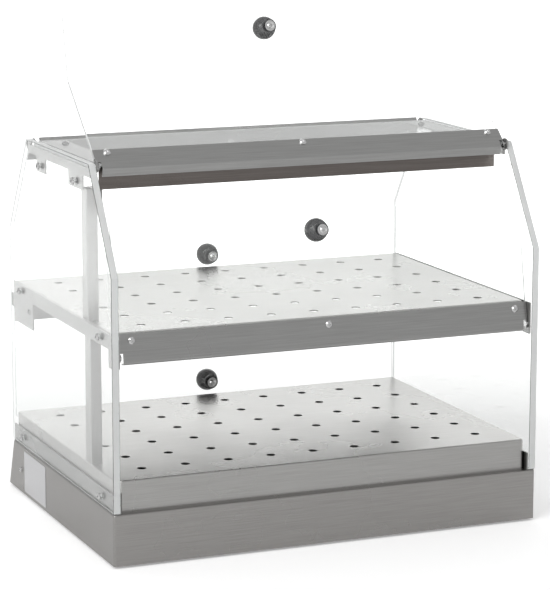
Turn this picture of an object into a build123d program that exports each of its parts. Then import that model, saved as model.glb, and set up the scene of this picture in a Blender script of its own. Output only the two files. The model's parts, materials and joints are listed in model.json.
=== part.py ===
from build123d import *
from math import cos, radians, sin, tan
import os

os.makedirs("parts", exist_ok=True)

# Driving dimensions, in millimetres and degrees.
# Heights are above the housing's lower edge and depths are behind its front, unless a name says otherwise.

# Base housing
case_width = 500
housing_height = 56
housing_depth = 355.3
housing_foot_depth = 375.7
housing_sheet = 1.2
housing_corner = 3
housing_edge = 1.6
ledge_window_margin = 30
return_flange = 44
foot_height = 2.5
foot_diameter = 14
foot_stem = 5
foot_inset = 32
sheet_gap = 0.3

# Perforated deck and shelf
tray_width = 479
tray_sheet = 1.2
tray_corner = 3
tray_edge = 1.6
deck_inset = 8.6
deck_height = 34.6
shelf_height = 247.5
shelf_inset = 19
shelf_depth = 331
shelf_wall = 14.5
deck_depth = 345
wire_hole = 6
wire_hole_inset = 100
hole_diameter = 10
hole_pitch_x = 50
hole_pitch_y = 52.8
hole_columns = 9
hole_rows = 6
hole_field_shift = 3

# Acrylic sides and top
side_thickness = 8
side_depth = 360
kink_height = 309
side_height = 419.5
top_setback = 70
edge_polish = 0.4
top_thickness = 5

# Sheet brackets between acrylic and steel
bracket_sheet = 1.5
side_rail_height = 20
side_rail_inset = 2
shelf_bar_flange = 14
shelf_bar_inset = 8
shelf_bar_front = 2
shelf_lobe_drop = 32
pivot_lobe_drop = 21
top_flange_width = 32
bracket_back = 272
plate_front = 84
gusset_length = 48
gusset_inset = 96
gusset_drop = 25
web_drop = 10
pivot_ear = 6.5
front_lobe_reach = 17.5
rear_lobe_start = 280
oval_length = 12
oval_width = 6
oval_inset = 294
oval_height = 220

# Cross rails under the top panel
cross_half_width = 234
cross_setback = 82
cross_height = 23.3
cross_flange = 22
cross_sheet = 1.2
rivet_diameter = 3.2
rivet_head = 6
rivet_head_height = 1
lamp_width = 14
lamp_height = 6
lamp_length = 420

# Wiring duct from the base to the front cross rail
duct_width = 12.5
duct_depth = 18
duct_sheet = 1

# Flaps: acrylic sheet on a folded steel hinge rail
flap_half_width = 240
flap_sheet = 4
flap_bend_radius = 5
rail_sheet = 1.5
rail_face = 26
rail_lead = 4
rail_leg = 9
short_rail_leg = 4.5
rail_bend_radius = 1
rail_leg_angle = 64
wide_rail_face = 32.5
wide_rail_lead = 7.7
wide_rail_leg = 6.5
acrylic_start = 11
tab_radius = 4.5
pivot_diameter = 4
pivot_play = 0.05
pivot_head = 6.5
pivot_head_height = 0.8
upper_axis_setback = 69.5
upper_axis_height = 416.5
rear_axis_setback = 73
rear_axis_drop = 2.5
lower_axis_setback = 7.5
lower_axis_height = 223
upper_inner_length = 124.5
upper_outer_length = 71.3
lower_length = 139.5
front_bend = 36
rear_bend = 33
upper_swing = 193
lower_swing = 189.5
rail_screw_spacing = 225
rail_screw_at = 17.5
screw_diameter = 4
screw_head = 8
screw_head_height = 2.4
screw_rim_share = 0.45
screw_socket_share = 0.32
socket_depth_share = 0.6
nut_radius_share = 0.9
nut_height_share = 0.6
washer_sheet = 0.8
notch_width = 5

# Ball knobs
knob_diameter = 26
knob_height = 28
knob_base_height = 3
knob_bore = 12
knob_base = 17
knob_edge_distance = 20
knob_screw_head = 7.5
knob_washer = 12

# Screws through the acrylic
side_screw_front = 45
side_screw_back = 324
rail_screw_height = 66
shelf_screw_height = 239.5
gusset_screw_front = 121
gusset_screw_back = 243
rear_gusset_inset = 225
rear_gusset_length = 32
gusset_screw_height = 395
top_screw_offset = 219
top_screw_front = 120
top_screw_back = 240
housing_screw_inset = 328
housing_screw_height = 27
small_thread = 3

# Electrical parts in the base
control_margin = 12
thermostat_x = 150
thermostat_width = 36
thermostat_height = 26
thermostat_length = 30
thermostat_shaft = 6
dial_diameter = 28
dial_height = 12
dial_gap = 0.5
dial_grip = 6
bushing_diameter = 9.6
switch_x = 95
switch_width = 13
switch_length = 19
switch_bezel = 3
switch_bezel_height = 2
switch_body_depth = 20
rocker_tilt = 9
rocker_play = 0.4
rocker_width = 10
rocker_length = 14
rocker_rise = 3
rocker_pin = 1
lamp_x = 60
pilot_diameter = 10
pilot_bezel = 14
pilot_bezel_height = 2.5
pilot_depth = 22
gland_x = -170
gland_thread = 16
gland_hex = 22
gland_dome = 19
gland_bore = 7
gland_length = 16
gland_nut_height = 5
element_diameter = 6.5
element_length = 300
element_pitch = 55
element_legs = 4
element_height = 36
comb_sheet = 1.5
comb_offset = 100
comb_margin = 14
comb_flange = 14
terminal_length = 60
terminal_width = 20
terminal_height = 16
sensor_diameter = 6
sensor_length = 80
label_width = 80
label_height = 48
label_sheet = 0.5
label_inset = 235

# Places that follow from the sizes above
half_width = case_width / 2
side_inner = half_width - side_thickness
plate_inner = side_inner - bracket_sheet
deck_top = housing_height + deck_height
rail_top = housing_height + side_rail_height
shelf_foot = shelf_height - shelf_wall
panel_foot = housing_height + bracket_sheet
plate_bottom = side_height - top_thickness
cross_top = side_height - top_thickness - bracket_sheet
cross_bottom = cross_top - cross_height
rear_axis = side_depth - rear_axis_setback
overall_depth = side_depth - lower_axis_setback + flap_sheet * 2 + knob_height
duct_outer = plate_inner - bracket_sheet - sheet_gap * 2
pivot_hole = pivot_diameter / 2 + pivot_play
screw_hole = screw_diameter / 2 + pivot_play
back_lean = (housing_foot_depth - housing_depth) / housing_height
back_sheet = housing_sheet * (1 + back_lean ** 2) ** 0.5
back_length = housing_height * (1 + back_lean ** 2) ** 0.5
tab_reach = acrylic_start + rail_sheet
ear_radius = pivot_ear + pivot_play


def depth(d):
    """Y of a point that lies d behind the housing's front."""
    return d - overall_depth / 2


def height(h):
    """Z of a point that lies h above the housing's lower edge."""
    return h + foot_height


def save(builder, name):
    builder.part.label = name
    export_step(builder.part, f"parts/{name}.step")


def face_on(plane, points):
    """Flat face on a plane, with its outline through the plane's own points."""
    with BuildSketch(plane) as sketch:
        with BuildLine():
            Polyline(*points, close=True)
        make_face()
    return sketch.sketch


def side_face(x, points):
    """Face across the case at x, with its outline given as depth and height."""
    return face_on(Plane.YZ.offset(x), [(depth(d), height(h)) for d, h in points])


def slab(x_low, x_high, points, mode=Mode.ADD):
    """Adds or cuts a flat piece between two X positions, outlined in depth and height."""
    extrude(side_face(x_low, points), amount=x_high - x_low, mode=mode)


def block(x_low, x_high, d_low, d_high, h_low, h_high, mode=Mode.ADD):
    """Adds or cuts a box given by its limits in X, depth and height."""
    slab(x_low, x_high, [(d_low, h_low), (d_high, h_low), (d_high, h_high), (d_low, h_high)], mode)


def disc(plane, radius, thickness, mode=Mode.ADD):
    """Adds or cuts a round piece that stands on a plane and grows along its normal."""
    with BuildSketch(plane) as sketch:
        Circle(radius)
    extrude(sketch.sketch, amount=thickness, mode=mode)


def across(x, d, h, sign=1):
    """Plane at a point of the case, facing sideways along X."""
    return Plane(origin=(x, depth(d), height(h)), x_dir=(0, 1, 0), z_dir=(sign, 0, 0))


def upward(x, d, h):
    """Plane at a point of the case, facing up."""
    return Plane(origin=(x, depth(d), height(h)), x_dir=(1, 0, 0), z_dir=(0, 0, 1))


def domed_screw(plane, grip, nut_at=0, head=screw_head, shaft=screw_diameter):
    """Domed screw whose head stands on a plane, its shaft behind it, and a nut beyond the grip if asked."""
    rim = screw_head_height * screw_rim_share
    disc(plane, head / 2, rim)
    with BuildSketch(plane.offset(rim)) as dome:
        Circle(head / 2)
    extrude(dome.sketch, amount=screw_head_height - rim, taper=45)
    with BuildSketch(plane.offset(screw_head_height)) as socket:
        RegularPolygon(shaft * screw_socket_share, 6)
    extrude(socket.sketch, amount=-screw_head_height * socket_depth_share, mode=Mode.SUBTRACT)
    disc(plane, shaft / 2, -grip)
    if nut_at:
        with BuildSketch(plane.offset(-nut_at)) as nut:
            RegularPolygon(shaft * nut_radius_share, 6)
            Circle(shaft / 2 + pivot_play, mode=Mode.SUBTRACT)
        extrude(nut.sketch, amount=-shaft * nut_height_share)


def back_plane(x, out=0):
    """Plane on the sloping rear at half height, facing backwards, with its Y axis up the slope."""
    normal = Vector(0, 1, back_lean).normalized()
    middle = Vector(x, depth((housing_foot_depth + housing_depth) / 2), height(housing_height / 2))
    return Plane(origin=middle + normal * out, x_dir=(-1, 0, 0), z_dir=normal)


# Base housing: front, sides and top folded from one sheet, with a window behind for the controls
foot_rows = (foot_inset, side_depth - foot_inset)
foot_columns = (-half_width + foot_inset, 0, half_width - foot_inset)
foot_places = [(x, d) for x in foot_columns for d in foot_rows]
with BuildPart() as housing:
    slab(-half_width, half_width, [(0, 0), (housing_foot_depth, 0), (housing_depth, housing_height),
                                   (0, housing_height)])
    fillet(housing.edges().filter_by(Axis.Z).group_by(Axis.Y)[0], housing_corner)
    fillet(housing.faces().sort_by(Axis.Z)[-1].edges().group_by(Axis.Y)[0], housing_edge)
    slab(-half_width + housing_sheet, half_width - housing_sheet,
         [(housing_sheet, housing_sheet),
          (housing_foot_depth - back_sheet - back_lean * housing_sheet, housing_sheet),
          (housing_depth - back_sheet + back_lean * housing_sheet, housing_height - housing_sheet),
          (housing_sheet, housing_height - housing_sheet)], Mode.SUBTRACT)
    block(-half_width + ledge_window_margin, half_width - ledge_window_margin,
          deck_inset + ledge_window_margin, housing_depth - ledge_window_margin,
          housing_height - housing_sheet * 2, housing_height + housing_sheet, Mode.SUBTRACT)
    block(-half_width + return_flange, half_width - return_flange,
          return_flange, side_depth - return_flange,
          -housing_sheet, housing_sheet * 2, Mode.SUBTRACT)
    with BuildSketch(back_plane(0, housing_sheet)) as window:
        Rectangle(case_width - control_margin * 4, back_length - control_margin * 1.5)
    extrude(window.sketch, amount=-housing_sheet * 4, mode=Mode.SUBTRACT)
    for side in (-1, 1):
        disc(across(side * (half_width + 1), housing_screw_inset, housing_screw_height, -side),
             small_thread / 2 + pivot_play, housing_sheet * 2, Mode.SUBTRACT)
        for end in (-1, 1):
            disc(back_plane(side * (half_width - control_margin), housing_sheet),
                 small_thread / 2 + pivot_play,
                 -housing_sheet * 4, Mode.SUBTRACT)
    for x, d in foot_places:
        disc(upward(x, d, -1), foot_stem / 2 + pivot_play, housing_sheet * 3, Mode.SUBTRACT)
save(housing, "base_housing")

# Floor plate lying on the housing's return flanges, with vent slots
floor_half = half_width - housing_sheet - sheet_gap
with BuildPart() as floor_plate:
    block(-floor_half, floor_half, housing_sheet + sheet_gap, housing_foot_depth - control_margin,
          housing_sheet, housing_sheet * 2)
    with BuildSketch(Plane.XY.offset(height(0))) as vents:
        with Locations((0, depth(side_depth / 2))):
            with GridLocations(hole_pitch_x, hole_pitch_y * 1.2, hole_rows, 3):
                SlotOverall(hole_pitch_x * 0.6, screw_diameter, rotation=90)
    extrude(vents.sketch, amount=housing_sheet * 3, mode=Mode.SUBTRACT)
    for x, d in foot_places:
        disc(upward(x, d, 0), foot_stem / 2 + pivot_play, housing_sheet * 3, Mode.SUBTRACT)
save(floor_plate, "base_floor")

# Rubber feet, each with a stem and a snap rim above the floor plate
with BuildPart() as feet:
    for x, d in foot_places:
        disc(upward(x, d, -foot_height), foot_diameter / 2, foot_height)
    chamfer(feet.faces().filter_by(Axis.Z).group_by(Axis.Z)[0].edges(), foot_height / 5)
    for x, d in foot_places:
        disc(upward(x, d, 0), foot_stem / 2, housing_sheet * 2 + sheet_gap)
        disc(upward(x, d, housing_sheet * 2 + sheet_gap), foot_stem * 0.8, housing_sheet)
save(feet, "feet")

# Blank label plate on the left side of the housing
with BuildPart() as label_plate:
    block(-half_width - label_sheet, -half_width, label_inset, label_inset + label_width,
          (housing_height - label_height) / 2, (housing_height + label_height) / 2)
    fillet(label_plate.edges().filter_by(Axis.X), screw_diameter / 2)
save(label_plate, "label_plate")


def tray_solid(d_front, d_size, top, wall):
    """Builds the tray in a builder of its own."""
    half = tray_width / 2
    with BuildPart() as made:
        with BuildSketch(Plane.XY.offset(height(top - wall))) as base:
            with Locations((0, depth(d_front + d_size / 2))):
                RectangleRounded(tray_width, d_size, tray_corner)
        extrude(base.sketch, amount=wall)
        fillet(made.faces().sort_by(Axis.Z)[-1].edges(), tray_edge)
        with BuildSketch(Plane.XY.offset(height(top - wall))) as inside:
            with Locations((0, depth(d_front + d_size / 2))):
                RectangleRounded(tray_width - tray_sheet * 2, d_size - tray_sheet * 2,
                                 tray_corner - tray_sheet)
        extrude(inside.sketch, amount=wall - tray_sheet, mode=Mode.SUBTRACT)
        with BuildSketch(Plane.XY.offset(height(top))) as grid:
            with Locations((0, depth(side_depth / 2 + hole_field_shift))):
                with GridLocations(hole_pitch_x, hole_pitch_y, hole_columns, hole_rows):
                    Circle(hole_diameter / 2)
            with Locations((-duct_outer + duct_width / 2, depth(wire_hole_inset))):
                Circle(wire_hole / 2)
        extrude(grid.sketch, amount=-tray_sheet * 2, mode=Mode.SUBTRACT)
    return made


# Perforated deck standing on the housing, and the perforated shelf
deck = tray_solid(deck_inset, deck_depth, deck_top, deck_height)
save(deck, "deck_tray")
shelf = tray_solid(shelf_inset, shelf_depth, shelf_height, shelf_wall)
save(shelf, "shelf_tray")

# Acrylic side panels, side rails, shelf bars and upper brackets, one of each per side
panel_outline = [(0, panel_foot), (0, kink_height), (top_setback, side_height),
                 (side_depth - top_setback, side_height), (side_depth, kink_height), (side_depth,
                                                                                      panel_foot)]
rail_screws = [(side_screw_front, rail_screw_height), (side_screw_back, rail_screw_height)]
shelf_screws = [(side_screw_front, shelf_screw_height), (side_screw_back, shelf_screw_height)]
gusset_screws = [(gusset_screw_front, gusset_screw_height), (gusset_screw_back, gusset_screw_height)]
upper_pivot = (upper_axis_setback, upper_axis_height)
rear_pivot = (rear_axis, upper_axis_height - rear_axis_drop)
lower_pivot = (lower_axis_setback, lower_axis_height)
lower_rear_pivot = (side_depth - lower_axis_setback + flap_sheet, lower_axis_height)


def sideways(side, inner, outer, points, mode=Mode.ADD):
    """Flat piece on one side of the case, between two distances from the middle."""
    slab(min(side * inner, side * outer), max(side * inner, side * outer), points, mode)


def plate_holes(side, places, radius, start=plate_inner - 1, length=case_width / 10):
    """Cuts holes that run along X through everything on one side."""
    for d, h in places:
        disc(across(side * start, d, h, side), radius, length, Mode.SUBTRACT)


def rectangle_points(d_low, d_high, h_low, h_high):
    return [(d_low, h_low), (d_high, h_low), (d_high, h_high), (d_low, h_high)]


for side, word in ((-1, "left"), (1, "right")):
    with BuildPart() as side_panel:
        sideways(side, side_inner, half_width, panel_outline)
        chamfer(side_panel.faces().sort_by(Axis.X)[0].edges() + side_panel.faces().sort_by(Axis.X)[-1].edges(),
                edge_polish)
        plate_holes(side, rail_screws + shelf_screws + gusset_screws, screw_hole)
    save(side_panel, f"side_panel_{word}")

    with BuildPart() as side_rail:
        sideways(side, plate_inner, side_inner, rectangle_points(side_rail_inset,
                                                                 side_depth - side_rail_inset,
                                                                 housing_height, rail_top))
        sideways(side, plate_inner, half_width - edge_polish,
                 rectangle_points(side_rail_inset, housing_depth - sheet_gap, housing_height, panel_foot))
        plate_holes(side, rail_screws, screw_hole)
    save(side_rail, f"side_rail_{word}")

    with BuildPart() as shelf_bar:
        ear_low = lower_axis_height - ear_radius
        sideways(side, plate_inner, side_inner,
                 rectangle_points(shelf_bar_front, side_depth - shelf_bar_inset,
                                  shelf_foot - bracket_sheet, shelf_height))
        sideways(side, plate_inner, side_inner,
                 rectangle_points(shelf_bar_front, front_lobe_reach,
                                  shelf_foot - pivot_lobe_drop, shelf_height))
        sideways(side, plate_inner, side_inner,
                 rectangle_points(rear_lobe_start, side_depth - shelf_bar_inset,
                                  shelf_foot - shelf_lobe_drop, shelf_height))
        sideways(side, plate_inner, side_inner,
                 rectangle_points(side_depth - shelf_bar_inset * 2, side_depth + flap_sheet,
                                  ear_low, shelf_foot - bracket_sheet))
        fillet(shelf_bar.edges().filter_by(Axis.X), sheet_gap * 5)
        sideways(side, plate_inner - shelf_bar_flange, side_inner,
                 rectangle_points(shelf_inset, rear_lobe_start - bracket_sheet * 2,
                                  shelf_foot - bracket_sheet, shelf_foot))
        plate_holes(side, shelf_screws, screw_hole)
        plate_holes(side, [lower_pivot, lower_rear_pivot], pivot_hole)
        with BuildSketch(across(side * (plate_inner - 1), oval_inset, oval_height, side)) as oval:
            SlotOverall(oval_length, oval_width)
        extrude(oval.sketch, amount=bracket_sheet * 3, mode=Mode.SUBTRACT)
        with BuildSketch(Plane.XY.offset(height(shelf_foot - bracket_sheet * 2))) as wires:
            with Locations((-duct_outer + duct_width / 2, depth(wire_hole_inset))):
                Circle(wire_hole / 2)
        extrude(wires.sketch, amount=bracket_sheet * 3, mode=Mode.SUBTRACT)
    save(shelf_bar, f"shelf_bar_{word}")

    with BuildPart() as upper_bracket:
        web_low = plate_bottom - web_drop
        sideways(side, plate_inner, side_inner,
                 rectangle_points(upper_pivot[0], rear_pivot[0], web_low, plate_bottom))
        sideways(side, plate_inner, side_inner,
                 rectangle_points(gusset_inset, gusset_inset + gusset_length,
                                  plate_bottom - gusset_drop - bracket_sheet,
                                  plate_bottom))
        sideways(side, plate_inner, side_inner,
                 rectangle_points(rear_gusset_inset, rear_gusset_inset + rear_gusset_length,
                                  plate_bottom - gusset_drop - bracket_sheet, plate_bottom))
        for d, h in (upper_pivot, rear_pivot):
            disc(across(side * plate_inner, d, h, side), ear_radius, bracket_sheet)
        sideways(side, plate_inner - top_flange_width + bracket_sheet, side_inner,
                 rectangle_points(plate_front, bracket_back, plate_bottom - bracket_sheet, plate_bottom))
        plate_holes(side, gusset_screws, screw_hole)
        plate_holes(side, [upper_pivot, rear_pivot], pivot_hole)
        for d in (top_screw_front, top_screw_back):
            disc(upward(side * top_screw_offset, d, plate_bottom - bracket_sheet * 2), screw_hole,
                 bracket_sheet * 3, Mode.SUBTRACT)
        disc(upward(side * (cross_half_width - rivet_head), plate_front + cross_flange / 2,
                    plate_bottom - bracket_sheet * 2), rivet_diameter / 2 + pivot_play, bracket_sheet * 3,
             Mode.SUBTRACT)
    save(upper_bracket, f"upper_bracket_{word}")

# Screws through the sides: into the rail and bar legs below, and with nuts at the upper brackets
for name, places, grip, nut_at in (("side_rail_screws", rail_screws, side_thickness + bracket_sheet, 0),
                                   ("shelf_bar_screws", shelf_screws, side_thickness + bracket_sheet, 0),
                                   ("upper_bracket_screws", gusset_screws,
                                    side_thickness + bracket_sheet * 4,
                                    side_thickness + bracket_sheet)):
    with BuildPart() as screws:
        for side in (-1, 1):
            for d, h in places:
                domed_screw(across(side * half_width, d, h, side), grip, nut_at)
    save(screws, name)

# Acrylic top panel with its screws and nuts
with BuildPart() as top_panel:
    block(-flap_half_width, flap_half_width, plate_front, bracket_back, plate_bottom, side_height)
    chamfer(top_panel.edges().group_by(Axis.Z)[-1], edge_polish)
    for side in (-1, 1):
        for d in (top_screw_front, top_screw_back):
            disc(upward(side * top_screw_offset, d, plate_bottom - 1), screw_hole, top_thickness + 2,
                 Mode.SUBTRACT)
save(top_panel, "top_panel")

with BuildPart() as top_screws:
    for side in (-1, 1):
        for d in (top_screw_front, top_screw_back):
            domed_screw(upward(side * top_screw_offset, d, side_height), top_thickness + bracket_sheet * 4,
                        top_thickness + bracket_sheet)
save(top_screws, "top_panel_screws")

# Front cross rail: a folded channel under the bracket flanges, open behind, with a window for the lamp
cross_front = cross_setback
cross_back = cross_front + cross_flange
with BuildPart() as cross_rail:
    block(-cross_half_width, cross_half_width, cross_front, cross_back, cross_bottom, cross_top)
    fillet(cross_rail.edges().filter_by(Axis.X).group_by(Axis.Y)[0], cross_sheet)
    block(-cross_half_width, cross_half_width, cross_front + cross_sheet, cross_back,
          cross_bottom + cross_sheet, cross_top - cross_sheet, Mode.SUBTRACT)
    block(-lamp_length / 2 + lamp_height, lamp_length / 2 - lamp_height,
          cross_front + lamp_height, cross_front + lamp_width,
          cross_bottom - cross_sheet, cross_bottom + cross_sheet * 2, Mode.SUBTRACT)
    for side in (-1, 1):
        disc(upward(side * (cross_half_width - rivet_head), plate_front + cross_flange / 2,
                    cross_top - cross_sheet * 2),
             rivet_diameter / 2 + pivot_play, cross_sheet * 3, Mode.SUBTRACT)
save(cross_rail, "front_cross_rail")

with BuildPart() as rivets:
    for side in (-1, 1):
        under = upward(side * (cross_half_width - rivet_head), plate_front + cross_flange / 2,
                       cross_top - cross_sheet)
        disc(under, rivet_diameter / 2, cross_sheet + bracket_sheet)
        disc(under, rivet_head / 2, -rivet_head_height)
save(rivets, "cross_rail_rivets")

with BuildPart() as lamp_strip:
    block(-lamp_length / 2, lamp_length / 2, cross_front + lamp_height / 2,
          cross_front + lamp_height / 2 + lamp_width,
          cross_bottom + cross_sheet, cross_bottom + cross_sheet + lamp_height)
    fillet(lamp_strip.edges().filter_by(Axis.X).group_by(Axis.Z)[-1], cross_sheet)
save(lamp_strip, "lamp_strip")

# Wiring duct on the left: from deck to shelf bar, and from shelf to cross rail
for name, d, low, high in (("wiring_duct_lower", wire_hole_inset - duct_depth / 2 - hole_field_shift,
                            deck_top,
                            shelf_foot - bracket_sheet - sheet_gap),
                           ("wiring_duct_upper", wire_hole_inset - duct_depth / 2 + hole_field_shift,
                            shelf_height,
                            cross_bottom - sheet_gap)):
    with BuildPart() as duct:
        block(-duct_outer, -duct_outer + duct_width, d, d + duct_depth, low, high)
        fillet(duct.edges().filter_by(Axis.Z), duct_sheet)
        block(-duct_outer + duct_sheet, -duct_outer + duct_width - duct_sheet,
              d + duct_sheet, d + duct_depth - duct_sheet, low - 1, high + 1, Mode.SUBTRACT)
    save(duct, name)


def flap_plane(pivot, angle, front):
    """Plane across a hinge axis: X runs along the flap, Y points to its inner side."""
    along = (0, cos(radians(angle)) * (1 if front else -1), sin(radians(angle)))
    return Plane(origin=(0, depth(pivot[0]), height(pivot[1])), x_dir=along, z_dir=(1 if front else -1, 0,
                                                                                    0))


def turned(plane, reach, angle):
    """The same plane moved along the flap to its bend, and turned by the bend."""
    along = plane.x_dir * cos(radians(angle)) + plane.y_dir * sin(radians(angle))
    return Plane(origin=plane.from_local_coords((reach, 0, 0)), x_dir=along, z_dir=plane.z_dir)


def on_face(plane, x, reach, level, sign):
    """Plane on a flap's face at X, facing inwards for sign 1 and outwards for sign -1."""
    spot = plane.from_local_coords((reach, level, 0)) + Vector(x, 0, 0)
    return Plane(origin=spot, x_dir=(1, 0, 0), z_dir=plane.y_dir * sign)


rail_columns = (-rail_screw_spacing, 0, rail_screw_spacing)


def make_flap(name, plane, bend, length, outer, lead, face, leg, leg_angle):
    """Exports the six pieces of one flap."""
    tip = turned(plane, length, bend) if outer else plane
    tip_reach = (outer if outer else length) - knob_edge_distance

    with BuildPart() as panel:
        with BuildSketch(plane) as profile:
            with BuildLine():
                if outer:
                    end = (length + outer * cos(radians(bend)), outer * sin(radians(bend)))
                    FilletPolyline((acrylic_start, 0), (length, 0), end, radius=flap_bend_radius)
                else:
                    Line((acrylic_start, 0), (length, 0))
                offset(amount=flap_sheet, side=Side.RIGHT)
            make_face()
        extrude(amount=flap_half_width, both=True)
        chamfer(panel.faces().sort_by(Axis.X)[0].edges() + panel.faces().sort_by(Axis.X)[-1].edges(),
                edge_polish)
        for x in rail_columns:
            disc(on_face(plane, x, rail_screw_at, 1, 1), screw_hole, -flap_sheet - 2, Mode.SUBTRACT)
        disc(on_face(tip, 0, tip_reach, 1, 1), screw_hole, -flap_sheet - 2, Mode.SUBTRACT)
    save(panel, f"{name}_flap_panel")

    drop = rail_sheet * tan(radians(leg_angle / 2))
    corner = lead - drop
    with BuildPart() as hinge_rail:
        with BuildSketch(plane) as profile:
            with BuildLine():
                end = (-corner - leg * cos(radians(leg_angle)), -leg * sin(radians(leg_angle)))
                FilletPolyline((face - lead, 0), (-corner, 0), end, radius=rail_bend_radius)
                offset(amount=rail_sheet, side=Side.RIGHT)
            make_face()
        extrude(amount=flap_half_width, both=True)
        for side in (-1, 1):
            low = min(side * (flap_half_width - notch_width), side * (flap_half_width + 1))
            with BuildSketch(plane.offset(low)) as notch:
                with Locations((tab_radius - rail_face / 2, 0)):
                    Rectangle(rail_face, rail_face)
            extrude(notch.sketch, amount=notch_width + 1, mode=Mode.SUBTRACT)
            low = min(side * (flap_half_width - rail_sheet), side * flap_half_width)
            with BuildSketch(plane.offset(low)) as tab:
                Circle(tab_radius)
                with Locations((tab_reach / 2 - rail_sheet, 0)):
                    Rectangle(tab_reach - rail_sheet * 2, tab_radius * 2)
                with Locations((tab_reach / 2, tab_radius / 2 + rail_sheet)):
                    Rectangle(rail_face, tab_radius, mode=Mode.SUBTRACT)
                Circle(pivot_hole, mode=Mode.SUBTRACT)
            extrude(tab.sketch, amount=rail_sheet)
        for x in rail_columns:
            disc(on_face(plane, x, rail_screw_at, rail_sheet + 1, 1), screw_hole, -rail_sheet - 2,
                 Mode.SUBTRACT)
    save(hinge_rail, f"{name}_hinge_rail")

    with BuildPart() as screws:
        for x in rail_columns:
            domed_screw(on_face(plane, x, rail_screw_at, rail_sheet, 1),
                        rail_sheet + flap_sheet + washer_sheet * 3,
                        rail_sheet + flap_sheet)
    save(screws, f"{name}_rail_screws")

    with BuildPart() as pins:
        for side in (-1, 1):
            inner = Plane(origin=plane.origin + Vector(side * (flap_half_width - rail_sheet), 0, 0),
                          x_dir=(0, 1, 0), z_dir=(side, 0, 0))
            disc(inner, pivot_diameter / 2, side_inner - flap_half_width + rail_sheet - sheet_gap)
            disc(inner, pivot_head / 2, -pivot_head_height)
    save(pins, f"{name}_pivot_pins")

    with BuildPart() as knob:
        seat = on_face(tip, 0, tip_reach, -flap_sheet, -1)
        disc(seat, knob_base / 2, knob_base_height)
        with Locations(seat.offset(knob_height - knob_diameter / 2)):
            Sphere(knob_diameter / 2)
        disc(seat, screw_hole, knob_bore, Mode.SUBTRACT)
    save(knob, f"{name}_knob")

    with BuildPart() as knob_screw:
        rest = on_face(tip, 0, tip_reach, 0, 1)
        with BuildSketch(rest) as washer:
            Circle(knob_washer / 2)
            Circle(screw_hole, mode=Mode.SUBTRACT)
        extrude(washer.sketch, amount=washer_sheet)
        domed_screw(rest.offset(washer_sheet), washer_sheet + flap_sheet + knob_bore - 1, 0,
                    knob_screw_head)
    save(knob_screw, f"{name}_knob_screw")


# The four flaps: the front pair is built open, the rear pair closed
make_flap("upper_front", flap_plane(upper_pivot, 270 - front_bend - upper_swing, True), front_bend,
          upper_inner_length, upper_outer_length, rail_lead, rail_face, rail_leg, rail_leg_angle)
make_flap("lower_front", flap_plane(lower_pivot, 270 - lower_swing, True), 0,
          lower_length, 0, wide_rail_lead, wide_rail_face, wide_rail_leg, 90)
make_flap("upper_rear", flap_plane(rear_pivot, 270 - rear_bend, False), rear_bend,
          upper_inner_length, upper_outer_length, rail_lead, rail_face, short_rail_leg, rail_leg_angle)
make_flap("lower_rear", flap_plane(lower_rear_pivot, 270, False), 0,
          lower_length, 0, wide_rail_lead, wide_rail_face, wide_rail_leg, 90)

# Control panel over the window in the housing's rear
with BuildPart() as control_panel:
    with BuildSketch(back_plane(0)) as sheet:
        Rectangle(case_width - housing_corner * 2, back_length - housing_edge * 2)
        with Locations((-thermostat_x, 0)):
            Circle(bushing_diameter / 2 + sheet_gap, mode=Mode.SUBTRACT)
        with Locations((-switch_x, 0)):
            Rectangle(switch_width + pivot_play * 2, switch_length + pivot_play * 2, mode=Mode.SUBTRACT)
        with Locations((-lamp_x, 0)):
            Circle(pilot_diameter / 2 + pivot_play, mode=Mode.SUBTRACT)
        with Locations((-gland_x, 0)):
            Circle(gland_thread / 2 + pivot_play, mode=Mode.SUBTRACT)
        with Locations((half_width - control_margin, 0), (control_margin - half_width, 0)):
            Circle(small_thread / 2 + pivot_play, mode=Mode.SUBTRACT)
    extrude(sheet.sketch, amount=housing_sheet)
save(control_panel, "control_panel")

with BuildPart() as small_screws:
    for side in (-1, 1):
        domed_screw(across(side * half_width, housing_screw_inset, housing_screw_height, side),
                    housing_sheet * 4, housing_sheet + pivot_play, screw_head * 0.75, small_thread)
        domed_screw(back_plane(side * (half_width - control_margin), housing_sheet), housing_sheet * 5,
                    housing_sheet * 2 + pivot_play, screw_head * 0.75, small_thread)
save(small_screws, "housing_screws")

# Thermostat: body behind the panel, bushing and shaft through it, dial outside
with BuildPart() as thermostat:
    with BuildSketch(back_plane(thermostat_x)) as case:
        RectangleRounded(thermostat_width, thermostat_height, small_thread)
    extrude(case.sketch, amount=-thermostat_length)
    disc(back_plane(thermostat_x), bushing_diameter / 2, housing_sheet * 3)
    disc(back_plane(thermostat_x), thermostat_shaft / 2, housing_sheet + dial_gap + dial_height * 0.7)
save(thermostat, "thermostat_body")

with BuildPart() as dial:
    seat = back_plane(thermostat_x, housing_sheet + dial_gap)
    disc(seat, dial_diameter / 2, dial_height)
    fillet(dial.edges().filter_by(GeomType.CIRCLE).sort_by(Axis.Y)[-1], housing_sheet)
    with BuildSketch(seat.offset(housing_sheet)) as flutes:
        with PolarLocations(dial_diameter / 2 + dial_grip / 6, dial_grip * 2):
            Circle(dial_grip / 3)
    extrude(flutes.sketch, amount=dial_height, mode=Mode.SUBTRACT)
    disc(seat, bushing_diameter / 2 + sheet_gap, housing_sheet * 3, Mode.SUBTRACT)
    disc(seat, thermostat_shaft / 2 + pivot_play, dial_height * 0.8, Mode.SUBTRACT)
    with BuildSketch(seat.offset(dial_height)) as pointer:
        with Locations((0, dial_diameter / 4)):
            SlotOverall(dial_diameter / 3, housing_sheet, rotation=90)
    extrude(pointer.sketch, amount=-housing_sheet / 2, mode=Mode.SUBTRACT)
save(dial, "thermostat_knob")

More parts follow.
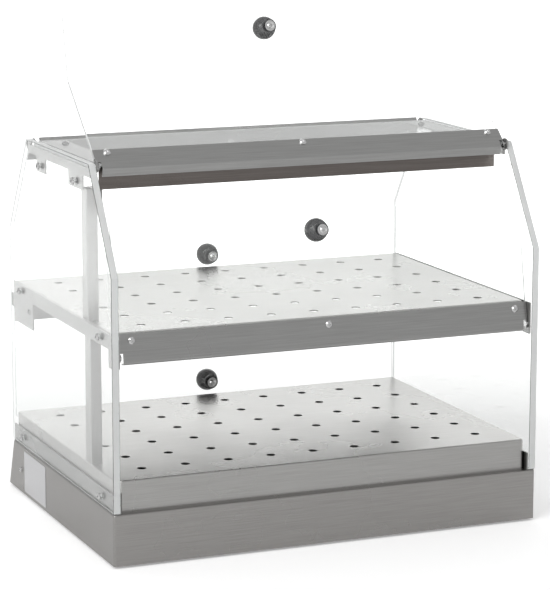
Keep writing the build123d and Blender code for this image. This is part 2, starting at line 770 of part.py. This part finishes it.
# Rocker switch
with BuildPart() as switch_body:
    with BuildSketch(back_plane(switch_x, housing_sheet)) as bezel:
        RectangleRounded(switch_width + switch_bezel, switch_length + switch_bezel, housing_sheet)
    extrude(bezel.sketch, amount=switch_bezel_height)
    with BuildSketch(back_plane(switch_x, housing_sheet)) as case:
        Rectangle(switch_width, switch_length)
    extrude(case.sketch, amount=-switch_body_depth)
    with BuildSketch(back_plane(switch_x, housing_sheet + switch_bezel_height)) as well:
        Rectangle(rocker_width + rocker_play * 2, rocker_length + rocker_play * 4)
    extrude(well.sketch, amount=-switch_bezel_height * 3.5, mode=Mode.SUBTRACT)
    pin_hole = Plane(origin=back_plane(switch_x, housing_sheet).origin, x_dir=(0, 1, 0), z_dir=(1, 0, 0))
    disc(pin_hole, rocker_pin + pivot_play, rocker_width / 2 + rocker_play * 2.5, Mode.SUBTRACT)
    disc(pin_hole, rocker_pin + pivot_play, -rocker_width / 2 - rocker_play * 2.5, Mode.SUBTRACT)
save(switch_body, "switch_body")

with BuildPart() as rocker:
    axis_plane = back_plane(switch_x, housing_sheet)
    lean = cos(radians(rocker_tilt / 2)), sin(radians(rocker_tilt / 2))
    tilted = Plane(origin=axis_plane.origin, x_dir=axis_plane.y_dir * lean[0] + axis_plane.z_dir * lean[1],
                   z_dir=(1, 0, 0))
    flat = rocker_length / 2
    with BuildSketch(tilted) as profile:
        with BuildLine():
            Polyline((-flat, -rocker_rise / 3), (flat, -rocker_rise / 3), (flat, rocker_rise), (0,
                                                                                                rocker_rise * 0.7),
                     (-flat, rocker_rise), close=True)
        make_face()
    extrude(profile.sketch, amount=rocker_width / 2, both=True)
    disc(tilted, rocker_pin, rocker_width / 2 + rocker_play * 2)
    disc(tilted, rocker_pin, -rocker_width / 2 - rocker_play * 2)
save(rocker, "rocker")

# Pilot lamp and cable gland
with BuildPart() as pilot_lamp:
    disc(back_plane(lamp_x, housing_sheet), pilot_diameter / 2, -pilot_depth)
    disc(back_plane(lamp_x, housing_sheet), pilot_bezel / 2, pilot_bezel_height)
    chamfer(pilot_lamp.edges().filter_by(GeomType.CIRCLE).sort_by(Axis.Y)[-1], pilot_bezel_height / 3)
save(pilot_lamp, "pilot_lamp")

with BuildPart() as gland:
    with BuildSketch(back_plane(gland_x, housing_sheet)) as flats:
        RegularPolygon(gland_hex / 2, 6)
    extrude(flats.sketch, amount=gland_nut_height)
    disc(back_plane(gland_x, housing_sheet + gland_nut_height), gland_dome / 2,
         gland_length - gland_nut_height)
    fillet(gland.edges().filter_by(GeomType.CIRCLE).sort_by(Axis.Y)[-1], gland_nut_height * 0.8)
    disc(back_plane(gland_x, housing_sheet), gland_thread / 2, -gland_length)
    disc(back_plane(gland_x, gland_length * 2), gland_bore / 2, -gland_length * 4, Mode.SUBTRACT)
    with BuildSketch(back_plane(gland_x)) as inner_nut:
        RegularPolygon(gland_hex / 2, 6)
        Circle(gland_thread / 2 + pivot_play, mode=Mode.SUBTRACT)
    extrude(inner_nut.sketch, amount=-gland_nut_height)
save(gland, "cable_gland")

# Tubular heating element carried by two comb plates on the floor plate
element_front = side_depth / 2 - element_pitch * (element_legs - 1) / 2
element_rows = [element_front + element_pitch * row for row in range(element_legs)]
floor_top = housing_sheet * 2
with BuildPart() as element:
    with BuildLine(Plane.XY.offset(height(element_height))) as path:
        bend = element_pitch / 2
        for row, d in enumerate(element_rows):
            Line((-element_length / 2, depth(d)), (element_length / 2, depth(d)))
            if row + 1 < element_legs:
                end = element_length / 2 if row % 2 == 0 else -element_length / 2
                swell = bend if row % 2 == 0 else -bend
                ThreePointArc((end, depth(d)), (end + swell, depth(d + bend)), (end,
                                                                                depth(d + element_pitch)))
    with BuildSketch(Plane(origin=(-element_length / 2, depth(element_rows[0]), height(element_height)),
                           x_dir=(0, 1, 0), z_dir=(1, 0, 0))):
        Circle(element_diameter / 2)
    sweep(path=path.wires()[0])
save(element, "base_heater")

bulb_row = element_rows[1] + element_pitch / 2
with BuildPart() as combs:
    for x in (-comb_offset, comb_offset):
        block(x, x + comb_sheet, element_rows[0] - comb_margin, element_rows[-1] + comb_margin,
              floor_top, element_height + comb_margin / 2)
        block(x, x + comb_flange, element_rows[0] - comb_margin, element_rows[-1] + comb_margin,
              floor_top, floor_top + comb_sheet)
        for d in element_rows:
            disc(across(x - 1, d, element_height), element_diameter / 2 + pivot_play, comb_sheet + 2,
                 Mode.SUBTRACT)
        disc(across(x - 1, bulb_row, element_height), sensor_diameter / 2 + pivot_play, comb_sheet + 2,
             Mode.SUBTRACT)
save(combs, "element_combs")

with BuildPart() as bulb:
    disc(across(comb_offset - sensor_length / 2, bulb_row, element_height), sensor_diameter / 2,
         sensor_length)
    fillet(bulb.edges().filter_by(GeomType.CIRCLE), sensor_diameter * 0.4)
save(bulb, "sensor_bulb")

# Terminal block on the floor plate
with BuildPart() as terminals:
    rear_row = element_rows[-1] + element_pitch
    block(-terminal_length * 1.5, -terminal_length / 2, rear_row, rear_row + terminal_width,
          floor_top, floor_top + terminal_height)
    chamfer(terminals.edges().filter_by(Axis.X).group_by(Axis.Z)[-1], terminal_height / 4)
    with BuildSketch(Plane.XY.offset(height(floor_top + terminal_height))) as wells:
        with Locations((-terminal_length, depth(rear_row + terminal_width / 2))):
            with GridLocations(terminal_length / 4, terminal_width, 4, 1):
                Circle(screw_diameter)
    extrude(wells.sketch, amount=-terminal_height / 3, mode=Mode.SUBTRACT)
save(terminals, "terminal_block")
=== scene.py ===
import json
import math
import bmesh
import bpy
from mathutils import Euler, Matrix, Vector


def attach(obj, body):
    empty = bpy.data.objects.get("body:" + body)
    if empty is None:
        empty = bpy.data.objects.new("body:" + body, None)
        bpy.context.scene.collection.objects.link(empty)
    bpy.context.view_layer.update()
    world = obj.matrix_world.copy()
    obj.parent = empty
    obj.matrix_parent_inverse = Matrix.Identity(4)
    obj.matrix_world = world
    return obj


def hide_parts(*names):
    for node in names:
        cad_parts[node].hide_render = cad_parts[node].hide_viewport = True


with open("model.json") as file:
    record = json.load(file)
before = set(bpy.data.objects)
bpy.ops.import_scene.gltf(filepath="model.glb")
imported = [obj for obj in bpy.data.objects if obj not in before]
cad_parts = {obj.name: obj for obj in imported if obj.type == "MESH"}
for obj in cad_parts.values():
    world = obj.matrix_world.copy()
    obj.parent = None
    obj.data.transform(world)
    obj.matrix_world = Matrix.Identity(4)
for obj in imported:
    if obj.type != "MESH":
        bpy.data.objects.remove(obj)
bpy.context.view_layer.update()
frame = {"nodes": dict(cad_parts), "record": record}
nodes = frame["nodes"]


def new_material(name):
    """Empty Principled material: returns the material, its node tree and its shader."""
    mat = bpy.data.materials.new(name)
    mat.use_nodes = True
    tree = mat.node_tree
    return mat, tree, tree.nodes["Principled BSDF"]


def noise(tree, scale, stretch=(1, 1, 1), detail=4.0, roughness=0.5, seed=0.0):
    """Noise in object coordinates, stretched along the axes."""
    coords = tree.nodes.new("ShaderNodeTexCoord")
    mapping = tree.nodes.new("ShaderNodeMapping")
    mapping.inputs["Scale"].default_value = stretch
    mapping.inputs["Location"].default_value = (seed, seed * 0.37, seed * 0.71)
    tex = tree.nodes.new("ShaderNodeTexNoise")
    tex.inputs["Scale"].default_value = scale
    tex.inputs["Detail"].default_value = detail
    tex.inputs["Roughness"].default_value = roughness
    tree.links.new(coords.outputs["Object"], mapping.inputs["Vector"])
    tree.links.new(mapping.outputs["Vector"], tex.inputs["Vector"])
    return tex


def span(tree, source, low, high):
    """Maps a 0..1 value to a range."""
    ranged = tree.nodes.new("ShaderNodeMapRange")
    ranged.inputs["From Min"].default_value = 0.3
    ranged.inputs["From Max"].default_value = 0.7
    ranged.inputs["To Min"].default_value = low
    ranged.inputs["To Max"].default_value = high
    tree.links.new(source, ranged.inputs["Value"])
    return ranged.outputs["Result"]


def two_tones(tree, source, dark, light):
    """Blends two colours by a value."""
    mix = tree.nodes.new("ShaderNodeMix")
    mix.data_type = "RGBA"
    mix.inputs["A"].default_value = (*dark, 1)
    mix.inputs["B"].default_value = (*light, 1)
    tree.links.new(source, mix.inputs["Factor"])
    return mix.outputs["Result"]


def bump(tree, shader, source, strength, distance=0.0002):
    """Fine relief on a shader from a value."""
    node = tree.nodes.new("ShaderNodeBump")
    node.inputs["Strength"].default_value = strength
    node.inputs["Distance"].default_value = distance
    tree.links.new(source, node.inputs["Height"])
    tree.links.new(node.outputs["Normal"], shader.inputs["Normal"])


def metal(name, dark, light, rough_low, rough_high, grain=(1, 60, 60), strength=0.15):
    """Brushed metal with fine grain along X and cloudy wear in its roughness."""
    mat, tree, shader = new_material(name)
    brushed = noise(tree, 18, grain, 3, 0.6, 1.3)
    clouds = noise(tree, 5, (1, 1, 1), 4, 0.55, 4.1)
    shader.inputs["Metallic"].default_value = 1.0
    colour = two_tones(tree, span(tree, brushed.outputs["Fac"], 0, 1), dark, light)
    tree.links.new(colour, shader.inputs["Base Color"])
    tree.links.new(span(tree, clouds.outputs["Fac"], rough_low, rough_high), shader.inputs["Roughness"])
    bump(tree, shader, brushed.outputs["Fac"], strength, 0.0001)
    return mat


def plastic(name, dark, light, rough_low, rough_high, strength=0.05, coat=0.0):
    """Moulded plastic or rubber with a faint texture."""
    mat, tree, shader = new_material(name)
    fine = noise(tree, 400, (1, 1, 1), 3, 0.6, 2.2)
    clouds = noise(tree, 30, (1, 1, 1), 3, 0.5, 5.3)
    colour = two_tones(tree, span(tree, clouds.outputs["Fac"], 0, 1), dark, light)
    tree.links.new(colour, shader.inputs["Base Color"])
    tree.links.new(span(tree, clouds.outputs["Fac"], rough_low, rough_high), shader.inputs["Roughness"])
    shader.inputs["Coat Weight"].default_value = coat
    bump(tree, shader, fine.outputs["Fac"], strength, 0.0001)
    return mat


def acrylic(name):
    """Clear acrylic that refracts, with faint wipe marks, and lets light through to what stands behind it."""
    mat, tree, shader = new_material(name)
    marks = noise(tree, 9, (1, 1, 2.5), 5, 0.6, 3.4)
    shader.inputs["Base Color"].default_value = (0.962, 0.970, 0.965, 1)
    shader.inputs["Transmission Weight"].default_value = 1.0
    shader.inputs["IOR"].default_value = 1.49
    tree.links.new(span(tree, marks.outputs["Fac"], 0.0, 0.012), shader.inputs["Roughness"])
    bump(tree, shader, marks.outputs["Fac"], 0.004, 0.0002)
    path = tree.nodes.new("ShaderNodeLightPath")
    clear = tree.nodes.new("ShaderNodeBsdfTransparent")
    clear.inputs["Color"].default_value = (0.90, 0.91, 0.905, 1)
    mix = tree.nodes.new("ShaderNodeMixShader")
    tree.links.new(path.outputs["Is Shadow Ray"], mix.inputs["Fac"])
    tree.links.new(shader.outputs["BSDF"], mix.inputs[1])
    tree.links.new(clear.outputs["BSDF"], mix.inputs[2])
    tree.links.new(mix.outputs["Shader"], tree.nodes["Material Output"].inputs["Surface"])
    return mat


materials = {
    "clear_acrylic": acrylic("clear_acrylic"),
    "brushed_steel": metal("brushed_steel", (0.335, 0.325, 0.315), (0.40, 0.39, 0.38), 0.26, 0.36),
    "folded_steel": metal("folded_steel", (0.34, 0.34, 0.335), (0.41, 0.41, 0.405), 0.26, 0.36),
    "duct_steel": metal("duct_steel", (0.33, 0.33, 0.325), (0.40, 0.40, 0.395), 0.26, 0.36, (60, 60, 1)),
    "polished_steel": metal("polished_steel", (0.62, 0.62, 0.62), (0.70, 0.70, 0.70), 0.12, 0.22,
                            (30, 30, 30), 0.04),
    "inner_steel": metal("inner_steel", (0.22, 0.21, 0.20), (0.32, 0.31, 0.30), 0.40, 0.55),
    "label_aluminium": metal("label_aluminium", (0.66, 0.66, 0.67), (0.74, 0.74, 0.75), 0.32, 0.42),
    "black_plastic": plastic("black_plastic", (0.016, 0.016, 0.018), (0.024, 0.024, 0.027), 0.16, 0.26,
                             0.03, 0.3),
    "matte_black": plastic("matte_black", (0.022, 0.022, 0.023), (0.032, 0.032, 0.034), 0.42, 0.55, 0.1),
    "black_rubber": plastic("black_rubber", (0.018, 0.018, 0.018), (0.028, 0.028, 0.028), 0.7, 0.85, 0.2),
    "lamp_diffuser": plastic("lamp_diffuser", (0.78, 0.78, 0.75), (0.84, 0.84, 0.81), 0.35, 0.5, 0.05),
    "amber_lens": plastic("amber_lens", (0.62, 0.14, 0.01), (0.75, 0.20, 0.02), 0.12, 0.2, 0.02, 0.5),
}
# Side rails: a darker copy of the same steel, painted shade.
side_rail_painted_shade = metal("side_rail_painted_shade_steel", (0.22, 0.22, 0.215), (0.28, 0.28, 0.275), 0.26, 0.36, (60, 1, 60))
# Front cross rail: a darker brownish copy of the same steel, painted shade and a painted reflection of the
# dark deck and shelf above it.
cross_rail_painted_shade = metal("cross_rail_painted_shade_steel", (0.15, 0.135, 0.125), (0.20, 0.18, 0.17), 0.24, 0.34)
# Deck and shelf trays: a lighter copy of the same steel, a painted highlight on their lit tops.
tray_painted_highlight_steel = metal("tray_painted_highlight_steel", (0.40, 0.395, 0.385), (0.47, 0.465, 0.455), 0.24, 0.34)
# These painted shade and painted highlight copies replace the slot material on their nodes; all other nodes
# keep their slot material.
painted_light_copies = {"side_rail_left": side_rail_painted_shade, "side_rail_right": side_rail_painted_shade, "front_cross_rail": cross_rail_painted_shade,
            "deck_tray": tray_painted_highlight_steel, "shelf_tray": tray_painted_highlight_steel}
slot_of = {entry["node"]: entry["material_slot"] for entry in frame["record"]["subparts"]}
for name, obj in nodes.items():
    slot_finish_or_painted_light = painted_light_copies.get(name, materials[slot_of[name]])
    if len(obj.material_slots) == 0:
        obj.data.materials.append(slot_finish_or_painted_light)
    for held in obj.material_slots:
        held.material = slot_finish_or_painted_light


def edge_material(name):
    """Sawn and flame-polished acrylic edge: it glows softly with the light that the sheet carries."""
    mat, tree, shader = new_material(name)
    streaks = noise(tree, 60, (1, 1, 0.12), 4, 0.6, 6.2)
    streaked = span(tree, streaks.outputs["Fac"], 0, 1)
    colour = two_tones(tree, streaked, (0.90, 0.92, 0.915), (0.97, 0.98, 0.975))
    tree.links.new(colour, shader.inputs["Base Color"])
    tree.links.new(span(tree, streaks.outputs["Fac"], 0.12, 0.3), shader.inputs["Roughness"])
    shader.inputs["IOR"].default_value = 1.49
    bump(tree, shader, streaks.outputs["Fac"], 0.08, 0.0002)
    through = tree.nodes.new("ShaderNodeBsdfTranslucent")
    through.inputs["Color"].default_value = (0.97, 0.98, 0.975, 1)
    mix = tree.nodes.new("ShaderNodeMixShader")
    mix.inputs["Fac"].default_value = 0.5
    tree.links.new(shader.outputs["BSDF"], mix.inputs[1])
    tree.links.new(through.outputs["BSDF"], mix.inputs[2])
    tree.links.new(mix.outputs["Shader"], tree.nodes["Material Output"].inputs["Surface"])
    return mat


acrylic_edge = edge_material("acrylic_edge")
hair = 0.00006
weld_distance = 1e-6
body_of_node = {node: body for body, held in frame["record"]["behaviour"]["bodies"].items() for node in held}


def clear_piece(node, is_edge):
    """Acrylic piece a hair thinner than its node, so that it shares no faces with the metal."""
    mesh = nodes[node].data.copy()
    work = bmesh.new()
    work.from_mesh(mesh)
    bmesh.ops.remove_doubles(work, verts=work.verts, dist=weld_distance)
    work.normal_update()
    for vert in work.verts:
        vert.co = vert.co - vert.normal * hair
    for face in work.faces:
        face.smooth = False
        face.material_index = 1 if is_edge(face) else 0
    mesh.materials.clear()
    mesh.materials.append(materials["clear_acrylic"])
    mesh.materials.append(acrylic_edge)
    work.to_mesh(mesh)
    work.free()
    piece = bpy.data.objects.new("clear_" + node, mesh)
    bpy.context.collection.objects.link(piece)
    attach(piece, body_of_node[node])
    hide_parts(node)


for name in slot_of:
    if slot_of[name] == "clear_acrylic":
        if name.startswith("side_panel"):
            clear_piece(name, lambda face: abs(face.normal.x) < 0.5)
        elif name == "top_panel":
            clear_piece(name, lambda face: abs(face.normal.z) < 0.5)
        else:
            clear_piece(name, lambda face: abs(face.normal.x) > 0.9)

# Camera, solved from the photograph
camera_place = (-1.10275, -2.6748, 0.79741)
camera_tilt = 90 - 10.864
camera_heading = -22.670
camera_roll = 0.056
camera_data = bpy.data.cameras.new("camera")
camera_data.sensor_width = 36
camera_data.sensor_fit = "AUTO"
camera_data.lens = 157.49
camera = bpy.data.objects.new("camera", camera_data)
bpy.context.collection.objects.link(camera)
turn = Euler((math.radians(camera_tilt), 0, math.radians(camera_heading)), "XYZ").to_matrix().to_4x4()
roll = Matrix.Rotation(math.radians(camera_roll), 4, "Z")
camera.matrix_world = Matrix.Translation(camera_place) @ turn @ roll
bpy.context.scene.camera = camera

# White floor that keeps the object's shadow: it glows more the farther it is from the object
floor_size = 60
floor_drop = 0.0002
glow_near, glow_far = 0.30, 1.0
fade_start, fade_end = 0.5, 1.6
bpy.ops.mesh.primitive_plane_add(size=floor_size, location=(0, 0, -floor_drop))
floor = bpy.context.object
floor.name = "floor"
floor_mat, floor_tree, floor_shader = new_material("floor")
floor_shader.inputs["Base Color"].default_value = (0.93, 0.93, 0.93, 1)
floor_shader.inputs["Roughness"].default_value = 0.9
floor_shader.inputs["Specular IOR Level"].default_value = 0.0
floor_shader.inputs["Emission Color"].default_value = (1, 1, 1, 1)
floor_path = floor_tree.nodes.new("ShaderNodeLightPath")
floor_seen = floor_tree.nodes.new("ShaderNodeMath")
floor_seen.operation = "MAXIMUM"
floor_glow = floor_tree.nodes.new("ShaderNodeMath")
floor_glow.operation = "MULTIPLY"
floor_place = floor_tree.nodes.new("ShaderNodeTexCoord")
floor_reach = floor_tree.nodes.new("ShaderNodeVectorMath")
floor_reach.operation = "LENGTH"
floor_fade = floor_tree.nodes.new("ShaderNodeMapRange")
floor_fade.inputs["From Min"].default_value = fade_start
floor_fade.inputs["From Max"].default_value = fade_end
floor_fade.inputs["To Min"].default_value = glow_near
floor_fade.inputs["To Max"].default_value = glow_far
floor_tree.links.new(floor_place.outputs["Object"], floor_reach.inputs[0])
floor_tree.links.new(floor_reach.outputs["Value"], floor_fade.inputs["Value"])
floor_tree.links.new(floor_fade.outputs["Result"], floor_glow.inputs[1])
floor_tree.links.new(floor_path.outputs["Is Camera Ray"], floor_seen.inputs[0])
floor_tree.links.new(floor_path.outputs["Is Transmission Ray"], floor_seen.inputs[1])
floor_tree.links.new(floor_seen.outputs[0], floor_glow.inputs[0])
floor_tree.links.new(floor_glow.outputs[0], floor_shader.inputs["Emission Strength"])
floor.data.materials.append(floor_mat)

# World: white to the camera and through glass, softer for light and mirror images
world_light = 0.62
world_white = 1.0
world = bpy.data.worlds.new("studio")
world.use_nodes = True
bpy.context.scene.world = world
sky = world.node_tree
background = sky.nodes["Background"]
background.inputs["Color"].default_value = (1, 1, 1, 1)
path = sky.nodes.new("ShaderNodeLightPath")
seen = sky.nodes.new("ShaderNodeMath")
seen.operation = "MAXIMUM"
sky.links.new(path.outputs["Is Camera Ray"], seen.inputs[0])
sky.links.new(path.outputs["Is Transmission Ray"], seen.inputs[1])
level = sky.nodes.new("ShaderNodeMapRange")
level.inputs["To Min"].default_value = world_light
level.inputs["To Max"].default_value = world_white
sky.links.new(seen.outputs[0], level.inputs["Value"])
sky.links.new(level.outputs["Result"], background.inputs["Strength"])


def area_light(name, place, target, size, power):
    """Rectangular lamp that points at a target."""
    data = bpy.data.lights.new(name, "AREA")
    data.shape = "RECTANGLE"
    data.size = size[0]
    data.size_y = size[1]
    data.energy = power
    lamp = bpy.data.objects.new(name, data)
    bpy.context.collection.objects.link(lamp)
    lamp.location = place
    lamp.rotation_euler = (Vector(target) - Vector(place)).to_track_quat("-Z", "Y").to_euler()


area_light("key", (-2.2, -1.4, 2.0), (0, 0, 0.2), (1.8, 1.8), 40)
area_light("back", (0.8, 2.4, 1.3), (0, 0, 0.25), (2.6, 1.0), 9)

# Clear sheets lie one behind another, so light needs many bounces
light_bounces = 32
scene = bpy.context.scene
scene.view_settings.view_transform = "Standard"
scene.cycles.max_bounces = light_bounces
scene.cycles.transmission_bounces = light_bounces
scene.cycles.transparent_max_bounces = light_bounces
